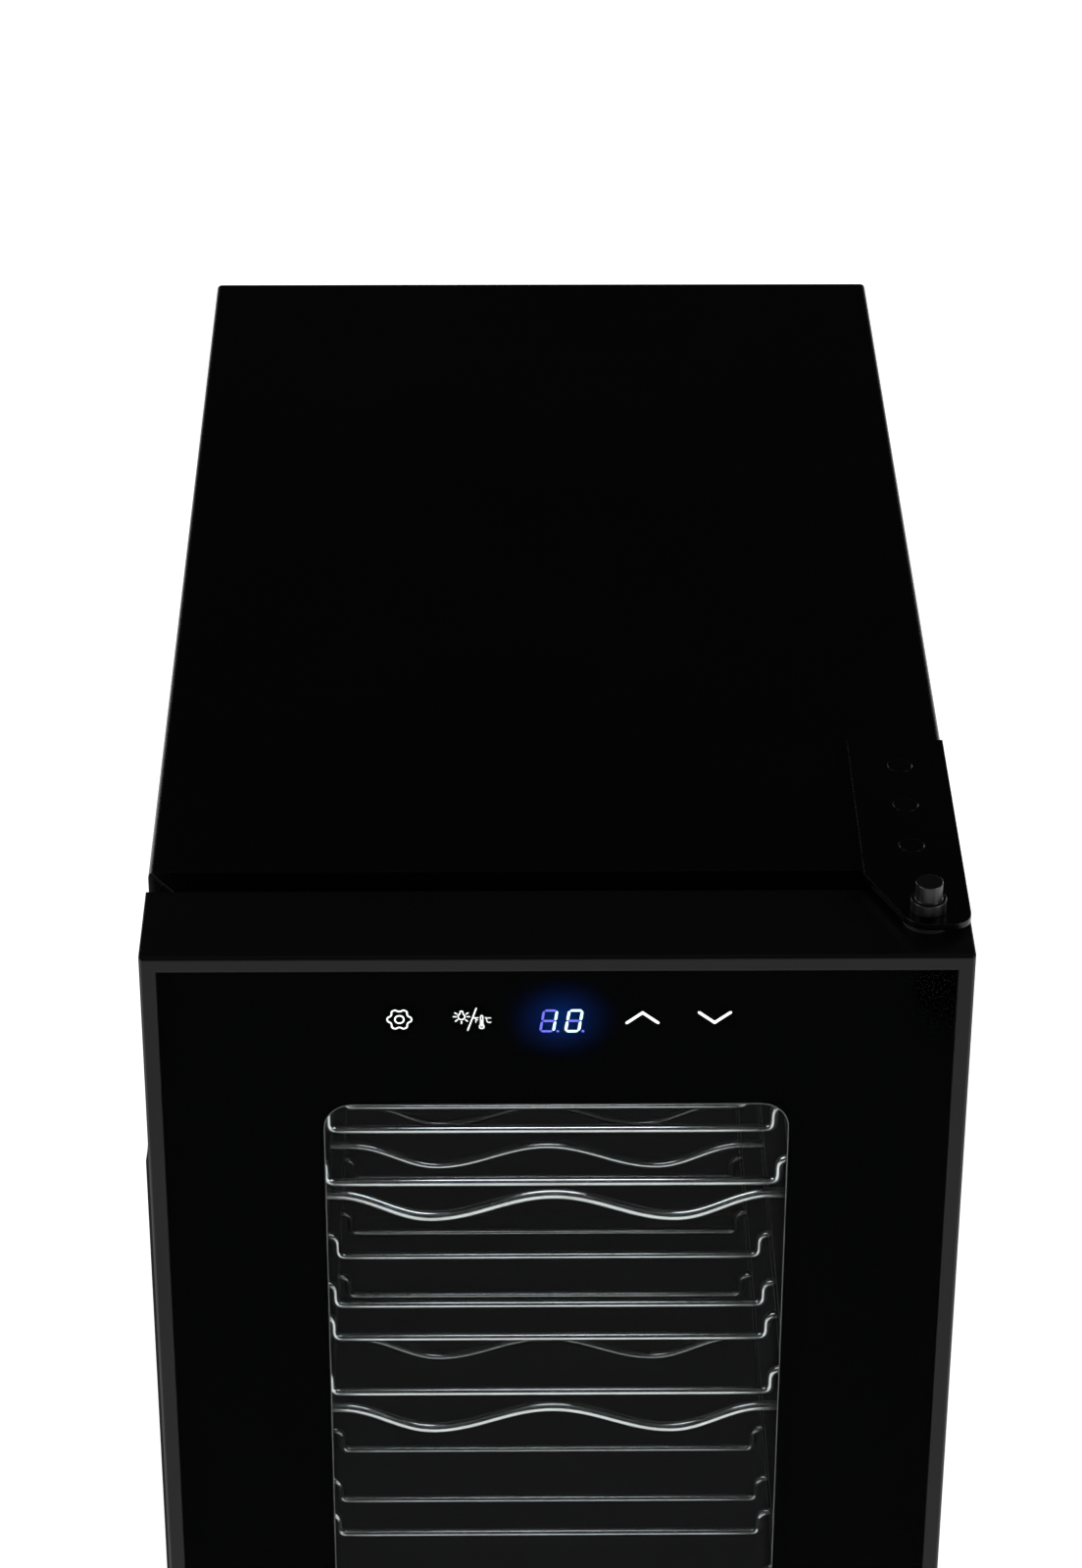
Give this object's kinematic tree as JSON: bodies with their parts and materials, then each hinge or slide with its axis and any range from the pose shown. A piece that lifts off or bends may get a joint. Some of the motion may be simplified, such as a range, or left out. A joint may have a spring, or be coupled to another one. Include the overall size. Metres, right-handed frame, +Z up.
{
  "type": "wine cooler",
  "caption": "Slim countertop wine cooler: black steel cabinet, right-hinged glass door with touch control strip, sliding chrome wire racks, thermoelectric unit at the rear.",
  "frame": {"origin": "on the floor at the centre of the footprint, under the feet", "axes": "+Z up, the door faces -Y, +X to the right seen from the front"},
  "size_m": [0.255, 0.505, 0.4672],
  "materials": {
    "black_steel": "semi-gloss black paint",
    "door_plastic": "satin charcoal black",
    "black_plastic": "fine-grained black",
    "clear_glass": "polished",
    "black_print": "opaque black glass print",
    "chrome_wire": "bright chrome",
    "aluminium": "extruded",
    "zinc_steel": "zinc plated",
    "foam": null,
    "ceramic": "white ceramic",
    "circuit_board": "solder mask",
    "copper_tape": "wound coil tape",
    "lamp_white": "diffusing",
    "bush_nylon": "black nylon",
    "rubber": "black"
  },
  "bodies": {
    "cabinet": {"cabinet_shell": "black_steel", "base_pan": "black_steel", "rear_panel": "black_steel", "insulation_foam": "foam", "inner_liner": "black_plastic", "breaker_trim": "black_plastic", "rack_rails_left": "black_plastic", "rack_rails_right": "black_plastic", "lamp_housing": "black_plastic", "lamp_board": "lamp_white", "lamp_lens": "lamp_white", "temperature_probe": "black_plastic", "duct_cover": "black_plastic", "cold_fan_frame": "black_plastic", "cold_heatsink": "aluminium", "cold_block": "aluminium", "peltier_module": "ceramic", "hot_heatsink": "aluminium", "sink_bolts": "zinc_steel", "hot_fan_frame": "black_plastic", "hot_fan_screws": "zinc_steel", "rear_cover": "black_plastic", "rear_cover_screws": "zinc_steel", "power_board": "circuit_board", "power_transformer": "copper_tape", "power_capacitors": "black_plastic", "board_standoffs": "bush_nylon", "power_lead_gland": "black_plastic", "wiring_harness": "black_plastic", "rear_panel_screws": "zinc_steel", "rear_feet": "rubber", "foot_inserts": "zinc_steel", "top_hinge_plate": "black_steel", "top_hinge_pin": "black_steel", "top_hinge_screws": "black_steel", "bottom_hinge_bracket": "black_steel", "bottom_hinge_pin": "zinc_steel", "bottom_hinge_screws": "zinc_steel"},
    "door": {"door_frame": "door_plastic", "front_glass": "clear_glass", "glass_print": "black_print", "glass_spacer": "aluminium", "inner_glass": "clear_glass", "door_inner_panel": "black_plastic", "door_gasket": "rubber", "side_grip": "door_plastic", "control_board": "circuit_board", "digit_display": "black_plastic", "touch_springs": "zinc_steel", "door_harness": "black_plastic", "hinge_bush_top": "bush_nylon", "hinge_bush_bottom": "bush_nylon", "door_screws": "zinc_steel"},
    "upper_rack": {"rack_upper": "chrome_wire"},
    "middle_rack": {"rack_middle": "chrome_wire"},
    "lower_rack": {"rack_lower": "chrome_wire"},
    "cold_fan_wheel": {"cold_fan_rotor": "black_plastic"},
    "hot_fan_wheel": {"hot_fan_rotor": "black_plastic"},
    "left_foot": {"front_foot_left": "rubber"},
    "right_foot": {"front_foot_right": "rubber"}
  },
  "joints": [
    {"name": "door_hinge", "type": "hinge", "parent": "cabinet", "child": "door", "pos_m": [0.113, -0.233, 0.2345], "axis": [0, 0, 1], "range_deg": [0, 118]},
    {"name": "upper_rack_slide", "type": "slide", "parent": "cabinet", "child": "upper_rack", "axis": [0, -1, 0], "range_m": [0, 0.093]},
    {"name": "middle_rack_slide", "type": "slide", "parent": "cabinet", "child": "middle_rack", "axis": [0, -1, 0], "range_m": [0, 0.093]},
    {"name": "lower_rack_slide", "type": "slide", "parent": "cabinet", "child": "lower_rack", "axis": [0, -1, 0], "range_m": [0, 0.093]},
    {"name": "cold_fan_spin", "type": "hinge", "parent": "cabinet", "child": "cold_fan_wheel", "pos_m": [0, 0.135, 0.275], "axis": [0, 1, 0], "continuous": true},
    {"name": "hot_fan_spin", "type": "hinge", "parent": "cabinet", "child": "hot_fan_wheel", "pos_m": [0, 0.235, 0.275], "axis": [0, 1, 0], "continuous": true},
    {"name": "left_foot_screw", "type": "slide", "parent": "cabinet", "child": "left_foot", "axis": [0, 0, -1], "range_m": [0, 0.008]},
    {"name": "right_foot_screw", "type": "slide", "parent": "cabinet", "child": "right_foot", "axis": [0, 0, -1], "range_m": [0, 0.008]}
  ],
  "couplings": [
    {"joint": "upper_rack_slide", "follows": "door_hinge", "m_per_rad": 0.045},
    {"joint": "middle_rack_slide", "follows": "door_hinge", "m_per_rad": 0.045},
    {"joint": "lower_rack_slide", "follows": "door_hinge", "m_per_rad": 0.045}
  ]
}
